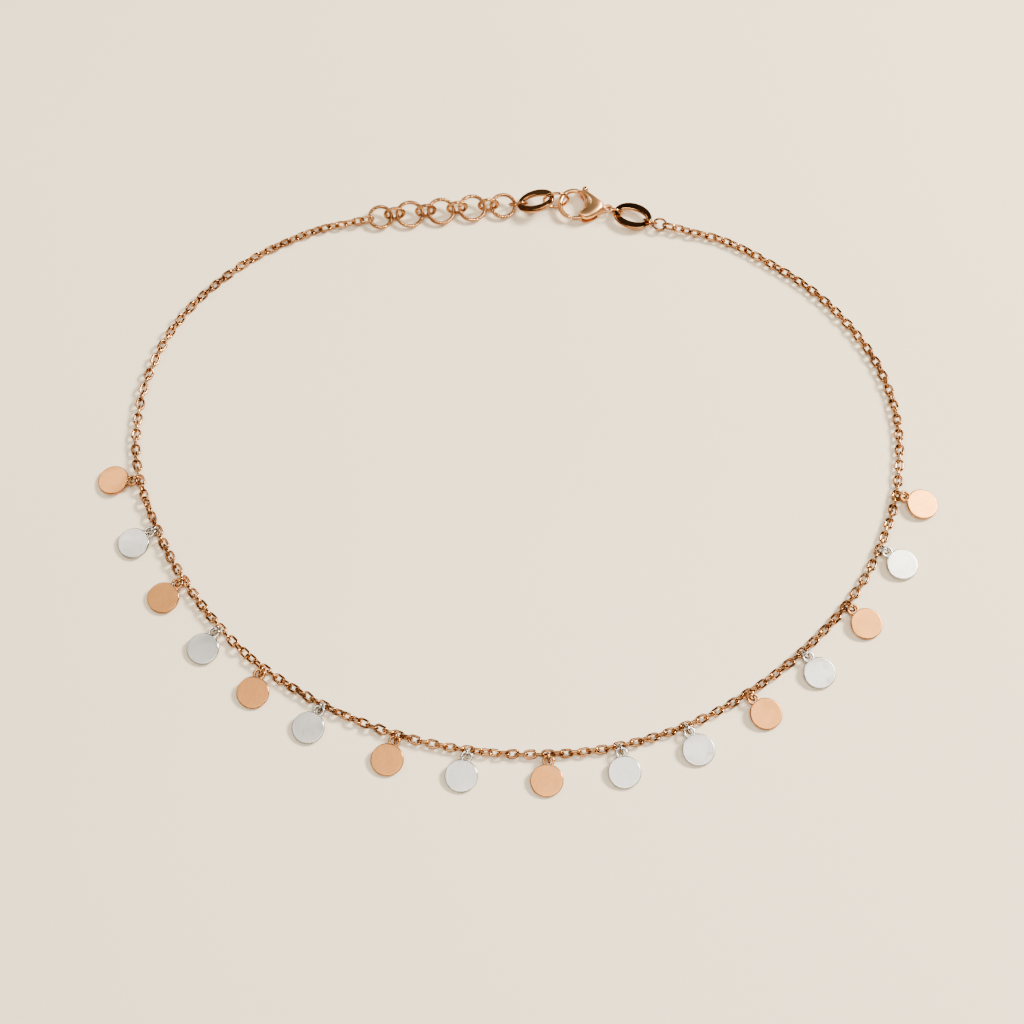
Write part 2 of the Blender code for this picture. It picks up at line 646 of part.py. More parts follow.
def main():
    clear_scene()
    scene = bpy.context.scene.collection
    parts = new_collection("Charm anklet", scene)
    helpers = new_collection("Helpers", scene, hidden=True)
    root = bpy.data.objects.new("anklet", None)
    parts.objects.link(root)

    rings, first_ring, last_ring = extender(parts)
    clasp_centre = at_height(CLASP_PLACE, CLOSURE_HEIGHT)
    clasp_frame = Matrix.Translation(clasp_centre) @ Matrix.Rotation(CLASP_YAW, 4, "Z")
    body = clasp_body(parts, helpers, clasp_frame)
    lever = clasp_lever(parts, helpers, clasp_frame)
    claw_edge = clasp_frame @ Vector((-OPENING_WIDTH / 2 - HOOK_WIRE, 0, 0))
    left = left_closure(parts, last_ring, claw_edge)
    right, round_end = right_closure(parts, clasp_frame @ Vector((*TAIL_PLACE, 0)))

    middle = [at_height(place, CHAIN_REST) for place in ROUTE]
    left_frame, left_start = end_link_frame(first_ring, EXTENDER_RADII[0], EXTENDER_WIRE, middle[0])
    right_frame, right_start = end_link_frame(round_end, ROUND_END_RADIUS, ROUND_END_WIRE, middle[-1])
    route = Route([left_start, *middle, right_start])

    places = [place * MM for _, place, _ in CHARMS]
    half = len(places) // 2
    meet = (places[half - 1] + places[half]) / 2
    chains = [
        chain_half("chain_left", parts, helpers, route, 0, meet - HALVES_GAP / 2,
                   places[:half], left_frame),
        chain_half("chain_right", parts, helpers, route, meet + HALVES_GAP / 2, route.length,
                   places[half:], right_frame),
    ]
    for piece in chains + rings + left + right + [body, lever]:
        piece.data.materials.append(metal("rose"))
    for i, (finish, place, swing) in enumerate(CHARMS):
        disc = charm(f"charm_{i + 1:02}", parts, route, place * MM, math.radians(swing))
        hoop = charm_ring(f"charm_ring_{i + 1:02}", parts, route, place * MM)
        disc.data.materials.append(metal(finish))
        hoop.data.materials.append(metal(finish))

    stand_on_origin(parts, root)
    for obj in bpy.data.objects:
        if obj is not root:
            obj.parent = root


main()
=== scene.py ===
"""The looks of the charm anklet: real chain links, satin discs, jump rings, extender, ovals and clasp.

Lengths are metres in the frame of the solids, which lie in an open loop on the surface z = 0.
"""

import math

import bmesh
import bpy
import numpy as np
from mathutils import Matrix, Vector


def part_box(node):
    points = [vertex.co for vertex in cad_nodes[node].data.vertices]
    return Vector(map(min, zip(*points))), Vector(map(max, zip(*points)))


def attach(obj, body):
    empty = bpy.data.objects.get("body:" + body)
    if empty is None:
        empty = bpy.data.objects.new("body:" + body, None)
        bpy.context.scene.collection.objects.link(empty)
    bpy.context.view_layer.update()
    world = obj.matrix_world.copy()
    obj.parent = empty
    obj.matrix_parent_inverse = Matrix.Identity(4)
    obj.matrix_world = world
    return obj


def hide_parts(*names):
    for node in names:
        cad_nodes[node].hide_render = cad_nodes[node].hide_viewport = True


MM = 0.001

# Where the route's own origin lies in the frame of the solids
SHIFT = np.array((-0.625, -4.825, 0)) * MM

# Chain route, in millimetres, as in the source of the solids
ROUTE = (
    (-25.2, 41.3), (-30.7, 38.7), (-34.6, 36.2), (-38.2, 33.1), (-41.2, 29.8), (-43.6, 26.3),
    (-45.4, 22.4), (-46.8, 17.8), (-47.4, 13.0), (-47.4, 8.5), (-46.6, 4.2), (-45.2, 0.0),
    (-42.3, -6.4), (-38.6, -12.3), (-34.0, -18.0), (-28.7, -22.6), (-21.2, -27.2),
    (-12.0, -30.8), (-2.0, -32.6), (8.1, -32.5), (16.2, -30.8), (24.2, -27.5), (32.3, -22.0),
    (39.0, -15.5), (43.7, -9.0), (47.0, -1.5), (48.5, 5.0), (48.8, 12.5), (47.3, 19.4),
    (44.3, 25.4), (39.4, 31.5), (33.4, 36.2), (27.6, 39.6),
)
ROUTE_STEPS = 10

# Links: the sway and roll that a seed draws, their size and how they hang. The spare is the share of a
# pitch by which a stretch may be too long before it gets one more link.
CHAIN_SEED = 7
CHAIN_SWAY = 0.07
SWAY_UP_SHARE = 0.6
CHAIN_ROLL = 0.10
CHAIN_REST = 0.65 * MM
LINK_WIRE = 0.34 * MM
LINK_WIDTH = 1.22 * MM
LINK_LENGTH = 1.80 * MM
TIGHTEST_PITCH = LINK_LENGTH - 2 * LINK_WIRE
SPARE_PITCH = 0.02
END_LINK_WIDTH = 1.50 * MM
END_LINK_LENGTH = 2.10 * MM
TUBE_DEPTH = 0.22 * MM
END_STEP = 1.20 * MM
HANG = 0.08 * MM
PLAY = 0.08 * MM

# Charms: metal, place along the chain in mm, swing from square in degrees
CHARMS = (
    ("rose", 52.6, -22), ("silver", 60.1, 10), ("rose", 68.0, 13), ("silver", 76.0, 17),
    ("rose", 83.8, 20), ("silver", 92.4, -3), ("rose", 102.2, -3), ("silver", 110.9, -7),
    ("rose", 120.5, -7), ("silver", 129.1, -5), ("silver", 137.5, 4), ("rose", 146.2, 7),
    ("silver", 154.9, -9), ("rose", 163.3, -9), ("silver", 172.2, -16), ("rose", 180.2, -10),
)
DISC_RADIUS = 2.00 * MM
DISC_THICKNESS = 0.42 * MM
DISC_EDGE = 0.14 * MM
DISC_POINTS = 81
LUG_POINTS = 29
LUG_RADIUS = 0.76 * MM
LUG_HOLE = 0.44 * MM
LUG_REACH = 2.40 * MM
LUG_ABOVE_LINK = 0.07 * MM
LUG_TURN = math.radians(40)
SUPPORT = 0.03 * MM
FLAT_ENOUGH = 0.98
LUG_OFFSET = 1.04 * MM

# Brushing of the disc faces: from charm to charm its direction swings, in degrees, and its place moves on
BRUSH_SWING = 11
BRUSH_STEP = (7.3, 3.1, 0)

# Radius and wire of the plain rings, by node
RING_SIZES = {
    "small_ring": (1.20 * MM, 0.30 * MM),
    "claw_ring": (1.60 * MM, 0.40 * MM),
    "tail_ring": (1.05 * MM, 0.30 * MM),
    "small_link": (0.90 * MM, 0.30 * MM),
    "round_end_link": (0.85 * MM, 0.30 * MM),
    "charm_ring": (0.67 * MM, 0.30 * MM),
}
EXTENDER_RADII = (1.45 * MM, 1.66 * MM, 1.66 * MM, 1.66 * MM, 1.55 * MM)
EXTENDER_WIRE = 0.50 * MM
EXTENDER_TWISTS = 15
TWIST_SWELL = 0.08 * MM
TWIST_DEPTH = 0.32
TWIST_POINTS = 240
TWIST_SIDES = 16
CONNECTOR_RADIUS = 1.20 * MM
CONNECTOR_WIRE = 0.46 * MM
CONNECTOR_TWISTS = 11

OVAL_RADII = (2.60 * MM, 1.95 * MM)
OVAL_HOLE_RADII = (1.85 * MM, 0.875 * MM)
OVAL_THICKNESS = 0.50 * MM
OVAL_EDGE = 0.20 * MM
OVAL_POINTS = 96
LEFT_OVAL_TURNS = (-3, -22, -10)
RIGHT_OVAL_TURNS = (-20, 0, 0)

# Clasp, in its own frame
CLASP_ORIGIN = SHIFT + np.array((8.10, 45.00, 0.95)) * MM
CLASP_TURNS = (-6, 0, 0)
OPENING_RADII = (1.40 * MM, 1.80 * MM)
HOOK_RADII = (1.775 * MM, 2.10 * MM)
HOOK_TIP = 255
HOOK_ROOT = 64
HOOK_WIRES = (0.56 * MM, 0.75 * MM, 0.60 * MM)
HOOK_WIDEST = 0.55
HOOK_KNOB = 0.34 * MM
HOOK_POINTS = 44
BODY_LOW = -50
BODY_HALF_HEIGHT = 0.95 * MM
BODY_REACH = 4.08 * MM
BODY_SIDES = 64
BODY_STEPS = 6
BODY_SQUARENESS = 0.30
# The body's height sets in some sections before the hook's root and is full a few sections after it
RISE_LEAD = 4
RISE_SECTIONS = 9
CAP_LENGTH = 0.8
CAP_ROWS = 5
GROOVE_PLACES = (0.74, 0.46)
GROOVE_WIDTH = 0.07
GROOVE_DEPTH = 0.08
# Outer edge of the body from the shoulder round the neck to the lower arm, as shares of its reach
BODY_OUTER = (
    (0.225, 0.522), (0.30, 0.515), (0.45, 0.436), (0.67, 0.294), (0.865, 0.157), (0.985, 0.06),
    (1.00, -0.045), (0.985, -0.15), (0.873, -0.311), (0.706, -0.473), (0.505, -0.578),
    (0.37, -0.568), (0.285, -0.49),
)
SLOT_STARTS = (0.44 * MM, 0.98 * MM)
SLOT_END = 3.30 * MM
SLOT_REACH = 3.60 * MM
SLOT_HALF_HEIGHT = 0.35 * MM
SLOT_SHARP = math.radians(40)
TAIL_EYE = (4.60 * MM, -0.20 * MM)
TAIL_EYE_RADIUS = 0.48 * MM
TAIL_EYE_WIRE = 0.34 * MM
TAIL_EYE_POINTS = 36
PIVOT = (2.20 * MM, -1.20 * MM)
HUB_RADIUS = 0.55 * MM
HUB_EDGE = 0.08 * MM
HUB_POINTS = 40
PIN_RADIUS = 0.25 * MM
PIN_SIDES = 20
LEVER_THICKNESS = 0.50 * MM
GATE_REACH = 2.00 * MM
GATE_WIRE = 0.44 * MM
THUMB_REACH = 3.70 * MM
THUMB_WIRE = 0.46 * MM
NUB_RADIUS = 0.42 * MM
ARM_STEPS = 6
ARM_SIDES = 14
ARM_ROOT = 0.50
GATE_END = 0.50
THUMB_END = 0.46
GATE_ARM = ((0, 0), (-0.29, -0.27), (-0.61, -0.41), (-1.00, -0.44))
THUMB_ARM = ((0, 0), (-0.08, 0.16), (-0.11, 0.38), (-0.145, 0.595), (-0.225, 0.81), (-0.235, 1.00))

# Metal
CLOUD_SCALE = 420
CLOUD_EDGES = (0.38, 0.66)
GRAIN_TURN = math.radians(38)
GRAIN_STRETCH = 0.07
GRAIN_EDGES = (0.5, 0.95)
GRAIN_DEPTH = 0.02 * MM
SPECK_SHARE = 0.45

# Floor and room
FLOOR_REACH = 3.0
FLOOR_CLOUDS = 9.0
FLOOR_EDGES = (0.3, 0.7)
FLOOR_TONES = ((0.93, 0.77, 0.52, 1), (0.95, 0.80, 0.57, 1))
FLOOR_ROUGHNESS = 0.75
ROOM_COLOUR = (1.0, 0.93, 0.84, 1)
ROOM_EDGES = (0.70, 0.93)
ROOM_LEVELS = (0.13, 0.02)

# Camera: the photograph's angle
CAMERA_ELEVATION = math.radians(63)
CAMERA_DISTANCE = 0.355
CAMERA_LENS = 100

# Modelling: where points merge, how far a round end closes, and a direction that no ring's axis has
MERGE_DISTANCE = 2e-7
SMALLEST_SHARE = 1e-4
ANY_DIRECTION = (0.31, 0.95, 0.05)


def unit(vectors):
    """Vectors divided by their length, along the last axis."""
    return vectors / np.linalg.norm(vectors, axis=-1, keepdims=True)


def turns(yaw, pitch, roll):
    """A turn about Z, after one about Y, after one about X, all in degrees."""
    (cz, cy, cx), (sz, sy, sx) = (f(np.radians((yaw, pitch, roll))) for f in (np.cos, np.sin))
    about_z = np.array(((cz, -sz, 0), (sz, cz, 0), (0, 0, 1)))
    about_y = np.array(((cy, 0, sy), (0, 1, 0), (-sy, 0, cy)))
    about_x = np.array(((1, 0, 0), (0, cx, -sx), (0, sx, cx)))
    return about_z @ about_y @ about_x


def placed(points, turn, place):
    """Points turned by a 3 x 3 matrix and then moved to their place."""
    return points @ np.asarray(turn).T + np.asarray(place)


def on_floor(points):
    """Points raised so that none lies below the surface."""
    return points + (0, 0, max(0, -points[..., 2].min()))


def smooth_line(points, steps):
    """A Catmull-Rom curve: between two knots, the cubic whose slope at each knot is half the step between
    its neighbours."""
    knots = np.array(points, float)
    knots = np.vstack([2 * knots[0] - knots[1], knots, 2 * knots[-1] - knots[-2]])
    a, b, c, d = (knots[i:len(knots) - 3 + i, None] for i in range(4))
    t = (np.arange(steps) / steps)[None, :, None]
    square = 2 * a - 5 * b + 4 * c - d
    cube = 3 * b - a - 3 * c + d
    found = 0.5 * (2 * b + (c - a) * t + square * t**2 + cube * t**3)
    return np.vstack([found.reshape(-1, knots.shape[1]), knots[-2]])


def quads(rows, columns, closed_rows, closed_columns):
    """The faces of a grid of points, joined round where a direction is closed."""
    r = np.arange(rows if closed_rows else rows - 1)[:, None]
    c = np.arange(columns if closed_columns else columns - 1)[None]
    r2, c2 = (r + 1) % rows, (c + 1) % columns
    corners = (r * columns + c, r * columns + c2, r2 * columns + c2, r2 * columns + c)
    return np.stack(corners, -1).reshape(-1, 4)


def piece(name, grids, material, stands_for=(), body="anklet", marks=None, rim=None):
    """One object from grids of points, each given as (points, rows closed, columns closed). A grid may hold
    many copies in its first axis. Doubled points at seams and poles are merged and normals point outwards.
    Marks are the points' places for the brushing. A rim is a (material, axis): the faces that don't look
    along the axis get that material, which for the discs is a darker polished metal with painted shade."""
    points, faces, start = [], [], 0
    for grid, closed_rows, closed_columns in grids:
        grid = np.asarray(grid, float)
        copies = grid.reshape(-1, *grid.shape[-3:])
        one = quads(*grid.shape[-3:-1], closed_rows, closed_columns)
        size = grid.shape[-3] * grid.shape[-2]
        offsets = start + size * np.arange(len(copies))[:, None, None]
        faces.append((one[None] + offsets).reshape(-1, 4))
        points.append(copies.reshape(-1, 3))
        start += size * len(copies)
    mesh = bpy.data.meshes.new(name)
    mesh.from_pydata(np.vstack(points), [], np.vstack(faces))
    if marks is not None:
        layer = mesh.attributes.new("face_place", "FLOAT_VECTOR", "POINT")
        layer.data.foreach_set("vector", np.asarray(marks, np.float32).reshape(-1))
    work = bmesh.new()
    work.from_mesh(mesh)
    bmesh.ops.remove_doubles(work, verts=work.verts, dist=MERGE_DISTANCE)
    bmesh.ops.recalc_face_normals(work, faces=work.faces)
    work.to_mesh(mesh)
    work.free()
    mesh.shade_smooth()
    obj = bpy.data.objects.new(name, mesh)
    bpy.context.scene.collection.objects.link(obj)
    mesh.materials.append(material)
    if rim:
        mesh.materials.append(rim[0])
        normals = np.empty(len(mesh.polygons) * 3)
        mesh.polygons.foreach_get("normal", normals)
        facing = np.abs(normals.reshape(-1, 3) @ rim[1]) > FLAT_ENOUGH
        # Faces that don't look along the axis take the rim metal: painted shade on the edges and side walls
        mesh.polygons.foreach_set("material_index", np.where(facing, 0, 1))
    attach(obj, body)
    if stands_for:
        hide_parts(*stands_for)
    return obj


def swept(path, radii, normal, sides=12, closed=False, twist=None, depth=0.0):
    """A round section carried along a path in one plane: path + radius (cos a side + sin a normal).
    With a twist, the radius grows and shrinks twice round the section as it turns along the path."""
    if closed:
        ahead = np.roll(path, -1, 0) - np.roll(path, 1, 0)
    else:
        ahead = np.gradient(path, axis=0)
    side = unit(np.cross(normal, ahead))
    angles = np.arange(sides) * 2 * math.pi / sides
    radii = np.broadcast_to(radii, len(path))[:, None] * np.ones(sides)
    if twist is not None:
        radii = radii * (1 - depth * (0.5 + 0.5 * np.cos(2 * angles[None] - twist[:, None])))
    across = radii[..., None] * np.cos(angles)[None, :, None] * side[:, None]
    upward = radii[..., None] * np.sin(angles)[None, :, None] * np.asarray(normal, float)
    return path[:, None] + across + upward


def rounded_ends(path, radii, count=5):
    """Adds a half-ball to both ends of a path: the radius falls as a cosine while the path runs on as a
    sine."""
    radii = np.broadcast_to(radii, len(path)).astype(float)
    angles = np.linspace(0, math.pi / 2, count + 1)[1:]
    first = unit(path[0] - path[1])
    last = unit(path[-1] - path[-2])
    start = path[0] + radii[0] * np.sin(angles)[::-1, None] * first
    end = path[-1] + radii[-1] * np.sin(angles)[:, None] * last
    shrink = np.maximum(np.cos(angles), SMALLEST_SHARE)
    all_radii = np.concatenate([radii[0] * shrink[::-1], radii, radii[-1] * shrink])
    return np.vstack([start, path, end]), all_radii


def circle(radius, count):
    """Points evenly round a circle in the X-Y plane."""
    angles = np.arange(count) * 2 * math.pi / count
    return np.stack([radius * np.cos(angles), radius * np.sin(angles), 0 * angles], -1)


def hoop(radius, wire, count=48, sides=12):
    """A round wire ring in the X-Y plane."""
    return swept(circle(radius, count), wire / 2, (0, 0, 1), sides, closed=True)


def ball(radius, rings=14, columns=20):
    """A ball: rings of radius r cos v at height r sin v."""
    v = np.linspace(-math.pi / 2, math.pi / 2, rings)[:, None]
    u = (np.arange(columns) * 2 * math.pi / columns)[None]
    return radius * np.stack([np.cos(v) * np.cos(u), np.cos(v) * np.sin(u), np.sin(v) + 0 * u], -1)


def rounded_plate(outer, inner, thickness, edge, steps=5):
    """A flat ring-shaped plate with round edges. outer(inset) and inner(inset) give its two outlines moved
    into the metal by the inset. The section runs over the outer edge, along the underside, up through the
    hole's edge and back over the face."""
    half = thickness / 2
    a = np.linspace(0, math.pi / 2, steps + 1)
    inset = edge * (1 - np.sin(a))
    level = half - edge * (1 - np.cos(a))
    insets = np.concatenate([[edge + SUPPORT], inset, inset[::-1], [edge + SUPPORT]])
    levels = np.concatenate([[half], level, -level[::-1], [-half]])
    rows = []
    for outline, order in ((outer, 1), (inner, -1)):
        for shift, height in zip(insets[::order], levels[::order]):
            line = outline(shift)
            rows.append(np.column_stack([line, np.full(len(line), height)]))
    return np.array(rows)


def oval_line(radii, count):
    """Gives an ellipse's outline as a function of how far it is moved in."""
    angles = np.arange(count) * 2 * math.pi / count

    def outline(inset):
        return np.stack([(radii[0] - inset) * np.cos(angles), (radii[1] - inset) * np.sin(angles)], -1)

    return outline


def widened(outline):
    """The outline of a hole, which moves outwards into the metal."""
    return lambda inset: outline(-inset)


def disc_outline(inset):
    """Disc and lug together: two arcs that meet where circles of their radii cross."""
    disc_radius, lug_radius = DISC_RADIUS - inset, LUG_RADIUS - inset
    cross = (LUG_REACH**2 + lug_radius**2 - disc_radius**2) / (2 * LUG_REACH)
    side = math.sqrt(lug_radius**2 - cross**2)
    disc_angle = math.atan2(side, cross - LUG_REACH)
    lug_angle = math.atan2(side, cross)
    disc = np.linspace(disc_angle, -disc_angle, DISC_POINTS)
    lug = np.linspace(2 * math.pi - lug_angle, lug_angle, LUG_POINTS)[1:-1]
    disc_line = np.stack([LUG_REACH + disc_radius * np.cos(disc), disc_radius * np.sin(disc)], -1)
    lug_line = np.stack([lug_radius * np.cos(lug), lug_radius * np.sin(lug)], -1)
    return np.vstack([disc_line, lug_line])


def lug_hole_outline(inset):
    """The lug's hole, with as many points as the outline round it, so that the face between them is a
    grid."""
    disc = np.linspace(LUG_TURN, -LUG_TURN, DISC_POINTS)
    lug = np.linspace(2 * math.pi - LUG_TURN, LUG_TURN, LUG_POINTS)[1:-1]
    angles = np.concatenate([disc, lug])
    return (LUG_HOLE + inset) * np.stack([np.cos(angles), np.sin(angles)], -1)


class Route:
    """The chain's middle line, read by the distance from its first end."""

    def __init__(self, points):
        self.points = smooth_line(points, ROUTE_STEPS)
        steps = np.linalg.norm(np.diff(self.points, axis=0), axis=1)
        self.distances = np.concatenate([[0], np.cumsum(steps)])
        self.length = self.distances[-1]

    def place(self, distance):
        """The point at each distance, on a straight line beyond either end."""
        distance = np.asarray(distance, float)
        found = np.stack([np.interp(distance, self.distances, self.points[:, i]) for i in range(3)], -1)
        before = np.minimum(distance, 0)[..., None] * unit(self.points[1] - self.points[0])
        after = np.maximum(distance - self.length, 0)[..., None] * unit(self.points[-1] - self.points[-2])
        return found + before + after

    def along(self, distance):
        """The level direction of the chain at each place."""
        distance = np.asarray(distance, float)
        ahead = self.place(distance + LINK_LENGTH) - self.place(distance - LINK_LENGTH)
        return unit(ahead * (1, 1, 0))


def middle_of(node):
    """The middle of a solid's box."""
    low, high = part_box(node)
    return (np.array(low) + np.array(high)) / 2


def chain_route():
    """The route between the two upright end links, which hold on to the extender and the round end link."""
    middle = np.column_stack([np.array(ROUTE) * MM, np.full(len(ROUTE), CHAIN_REST)]) + SHIFT
    ends, starts = [], []
    holds = (
        ("extender_ring_1", EXTENDER_RADII[0], EXTENDER_WIRE, middle[0]),
        ("round_end_link", *RING_SIZES["round_end_link"], middle[-1]),
    )
    for node, radius, wire, towards in holds:
        held = middle_of(node)
        along = unit((towards - held) * (1, 1, 0))
        grip = radius - wire / 2 - PLAY - LINK_WIRE / 2
        centre = held + along * (grip + (END_LINK_LENGTH - LINK_WIRE) / 2)
        ends.append((centre, along))
        starts.append(centre + along * (END_LINK_LENGTH / 2 - TUBE_DEPTH))
    return Route([starts[0], *middle, starts[1]]), ends


def link_surface(length, width, sides=6):
    """A wire carried round a link with straight sides and round ends, in the X-Y plane."""
    end = (width - LINK_WIRE) / 2
    straight = (length - LINK_WIRE) / 2 - end
    a = np.linspace(-math.pi / 2, math.pi / 2, 8)
    right = np.stack([straight + end * np.cos(a), end * np.sin(a), 0 * a], -1)
    return swept(np.vstack([right, right * (-1, -1, 1)]), LINK_WIRE / 2, (0, 0, 1), sides, closed=True)


def link_places(route):
    """Distance, turn about the chain and hang of every link. Links that carry a charm lie face up, and
    between two of them the turn from link to link is the quarter turn, spread so that it comes out even."""
    gap = END_LINK_LENGTH / 2 - TUBE_DEPTH
    fixed = [END_STEP - gap, *(place * MM for _, place, _ in CHARMS), route.length - END_STEP + gap]
    distances, angles, hangs = [fixed[0]], [0.0], [0.0]
    for start, end in zip(fixed, fixed[1:]):
        count = math.ceil((end - start) / TIGHTEST_PITCH - SPARE_PITCH)
        halves = round(count / 2)
        turn = halves * math.pi / count
        steps = np.arange(1, count + 1)
        distances += list(start + (end - start) * steps / count)
        angles += list(steps * turn)
        hangs += list(HANG * (steps < count))
    return np.array(distances), np.array(angles), np.array(hangs)


def chain(material):
    """Every link in place: local X along the chain, local Y turned about it, with a small seeded sway."""
    route, ends = chain_route()
    distances, angles, hangs = link_places(route)
    random = np.random.default_rng(CHAIN_SEED)
    free = (hangs > 0)[:, None]
    along = route.along(distances)
    sway = random.normal(0, CHAIN_SWAY, (len(along), 3)) * free * (1, 1, SWAY_UP_SHARE)
    along = unit(along + sway)
    angles = angles + random.normal(0, CHAIN_ROLL, len(angles)) * free[:, 0]
    level = unit(np.cross((0, 0, 1), along))
    upward = np.cross(along, level)
    across = np.cos(angles)[:, None] * level + np.sin(angles)[:, None] * upward
    third = np.cross(along, across)
    turn = np.stack([along, across, third], -1)
    places = route.place(distances)
    places[:, 2] -= hangs * np.abs(np.cos(angles))
    unit_link = link_surface(LINK_LENGTH, LINK_WIDTH)
    links = np.einsum("nij,rcj->nrci", turn, unit_link) + places[:, None, None]
    links[..., 2] += np.maximum(0, SUPPORT - links[..., 2].min((1, 2)))[:, None, None]
    end_link = link_surface(END_LINK_LENGTH, END_LINK_WIDTH)
    grids = [(links, True, True)]
    for centre, ahead in ends:
        upright = np.stack([ahead, (0, 0, 1), np.cross(ahead, (0, 0, 1))], -1)
        grids.append((placed(end_link, upright, centre), True, True))
    piece("chain_links", grids, material, ("chain_left", "chain_right"))
    return route


def discs(route, satin, polished_rims_painted_shade):
    """The charms: each disc rests on its outer rim and its lug lies over the link that carries it."""
    inner = (LUG_RADIUS + LUG_HOLE) / 2
    drop = CHAIN_REST + LINK_WIRE / 2 + LUG_ABOVE_LINK
    tilt = math.degrees(math.asin(drop / (inner + LUG_REACH + DISC_RADIUS)))
    height = drop + DISC_THICKNESS / 2 - inner * math.tan(math.radians(tilt))
    surface = rounded_plate(disc_outline, lug_hole_outline, DISC_THICKNESS, DISC_EDGE)
    flat = surface.reshape(-1, 3) / MM
    for i, (finish, distance, swing) in enumerate(CHARMS):
        along = route.along(distance * MM)
        outward = np.array((along[1], -along[0], 0))
        place = route.place(distance * MM) + outward * LUG_OFFSET
        place[2] = height
        heading = math.degrees(math.atan2(outward[1], outward[0])) + swing
        turn = turns(heading, tilt, 0)
        grid = placed(surface, turn, place)
        marks = placed(flat, turns(BRUSH_SWING * math.sin(5 * i), 0, 0), np.multiply(BRUSH_STEP, i))
        number = f"{i + 1:02}"
        # Bevels and side walls take the darker rim metal: polished, with painted shade on the edge
        piece("disc_" + number, [(grid, True, True)], satin[finish],
              ["charm_" + number], marks=marks, rim=(polished_rims_painted_shade[finish], turn[:, 2]))


def ring_frame(node):
    """The middle and plane of a ring in the solids: its thinnest direction is the ring's axis."""
    points = np.empty(len(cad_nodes[node].data.vertices) * 3)
    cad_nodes[node].data.vertices.foreach_get("co", points)
    points = points.reshape(-1, 3)
    centre = (points.min(0) + points.max(0)) / 2
    _, axes = np.linalg.eigh(np.cov((points - centre).T))
    axis = axes[:, 0]
    first = unit(np.cross(ANY_DIRECTION, axis))
    return centre, np.stack([first, np.cross(axis, first), axis], -1)


def plain_rings(bright):
    """Smooth round wire in the place of each plain ring."""
    for node in sorted(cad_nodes):
        kind = node.rstrip("0123456789").rstrip("_")
        if kind not in RING_SIZES:
            continue
        finish = CHARMS[int(node[-2:]) - 1][0] if kind == "charm_ring" else "rose"
        centre, turn = ring_frame(node)
        grid = on_floor(placed(hoop(*RING_SIZES[kind]), turn, centre))
        piece(node + "_wire", [(grid, True, True)], bright[finish], [node])


def extender_rings(material):
    """The five rings and their four connectors, all of twisted wire."""
    sizes = []
    for i, radius in enumerate(EXTENDER_RADII, 1):
        sizes.append((f"extender_ring_{i}", radius, EXTENDER_WIRE, EXTENDER_TWISTS))
    for i in range(1, len(EXTENDER_RADII)):
        sizes.append((f"connector_{i}", CONNECTOR_RADIUS, CONNECTOR_WIRE, CONNECTOR_TWISTS))
    for number, (node, radius, wire, twists) in enumerate(sizes):
        centre, turn = ring_frame(node)
        twist = np.arange(TWIST_POINTS) * 4 * math.pi * twists / TWIST_POINTS + number
        path = circle(radius, TWIST_POINTS)
        thickness = (wire + TWIST_SWELL) / 2
        grid = swept(path, thickness, (0, 0, 1), TWIST_SIDES, True, twist, TWIST_DEPTH)
        grid = on_floor(placed(grid, turn, centre))
        piece(node + "_twisted", [(grid, True, True)], material, [node])


def ovals(material):
    """The two flat oval links with their rounded edges."""
    outer = oval_line(OVAL_RADII, OVAL_POINTS)
    hole = widened(oval_line(OVAL_HOLE_RADII, OVAL_POINTS))
    surface = rounded_plate(outer, hole, OVAL_THICKNESS, OVAL_EDGE)
    for node, angles in (("left_oval", LEFT_OVAL_TURNS), ("right_oval", RIGHT_OVAL_TURNS)):
        grid = placed(surface, turns(*angles), middle_of(node))
        piece(node + "_link", [(grid, True, True)], material, [node])


